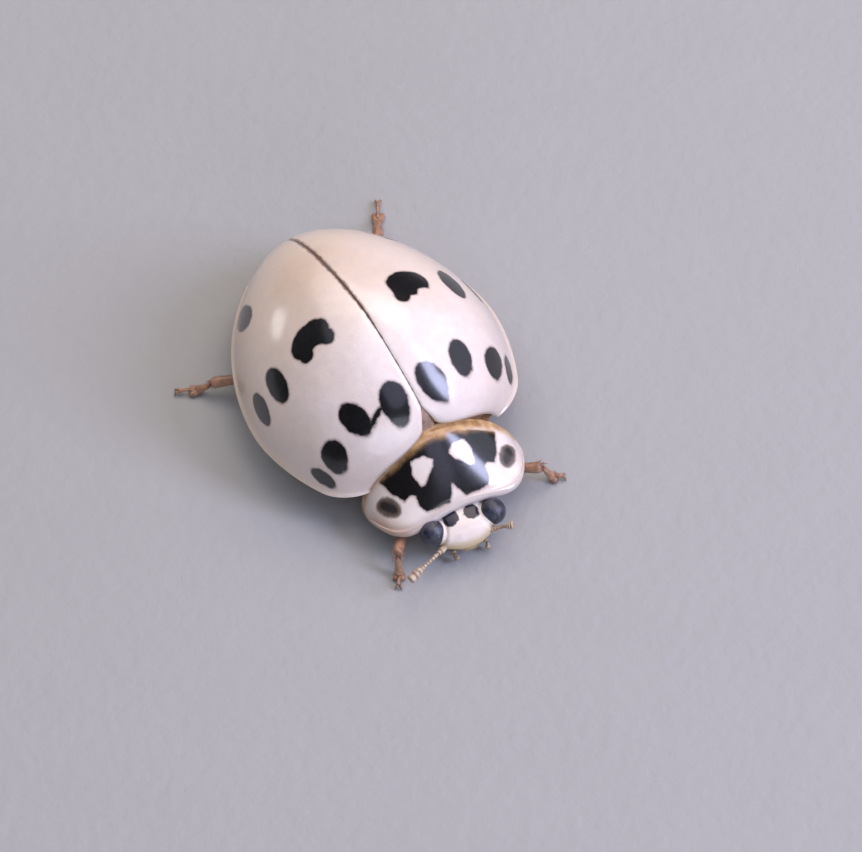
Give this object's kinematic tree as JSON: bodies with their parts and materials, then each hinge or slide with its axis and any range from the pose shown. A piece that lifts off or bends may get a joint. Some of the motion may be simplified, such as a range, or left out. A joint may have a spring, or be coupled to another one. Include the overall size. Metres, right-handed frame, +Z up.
{
  "type": "ladybird beetle (ashy grey lady beetle)",
  "caption": "Life-size still model of a pale, black-spotted ladybird standing on its legs, with domed wing cases and a marked pronotum.",
  "frame": {"origin": "centre of the footprint of the whole model's box, on the level of the soles", "axes": "+Z up, +Y towards the rear of the beetle, +X towards its left side; the head faces -Y"},
  "size_m": [0.005, 0.007, 0.0028],
  "materials": {
    "wing_cases": "glossy ivory cuticle with near-black spots",
    "pronotum": "glossy ivory cuticle with black markings and an amber rear edge",
    "head": "glossy cream cuticle",
    "eyes": "faceted, dark blue-grey, glossy",
    "antennae": "satin amber-brown cuticle",
    "mouthparts": "satin amber-brown cuticle",
    "legs": "satin amber-brown cuticle with fine hairs",
    "underside": "satin brown cuticle, finely pitted"
  },
  "bodies": {
    "root": {"elytron_right": "wing_cases", "elytron_left": "wing_cases", "scutellum": "wing_cases", "pronotum": "pronotum", "head": "head", "labrum": "mouthparts", "palp_right": "mouthparts", "palp_left": "mouthparts", "eye_right": "eyes", "eye_left": "eyes", "antenna_right": "antennae", "antenna_left": "antennae", "antenna_club_right": "antennae", "antenna_club_left": "antennae", "prosternum": "underside", "thorax": "underside", "abdomen": "underside", "coxa_front_right": "legs", "femur_front_right": "legs", "tibia_front_right": "legs", "tarsus_front_right": "legs", "coxa_front_left": "legs", "femur_front_left": "legs", "tibia_front_left": "legs", "tarsus_front_left": "legs", "coxa_middle_right": "legs", "femur_middle_right": "legs", "tibia_middle_right": "legs", "tarsus_middle_right": "legs", "coxa_middle_left": "legs", "femur_middle_left": "legs", "tibia_middle_left": "legs", "tarsus_middle_left": "legs", "coxa_hind_right": "legs", "femur_hind_right": "legs", "tibia_hind_right": "legs", "tarsus_hind_right": "legs", "coxa_hind_left": "legs", "femur_hind_left": "legs", "tibia_hind_left": "legs", "tarsus_hind_left": "legs"}
  },
  "joints": []
}
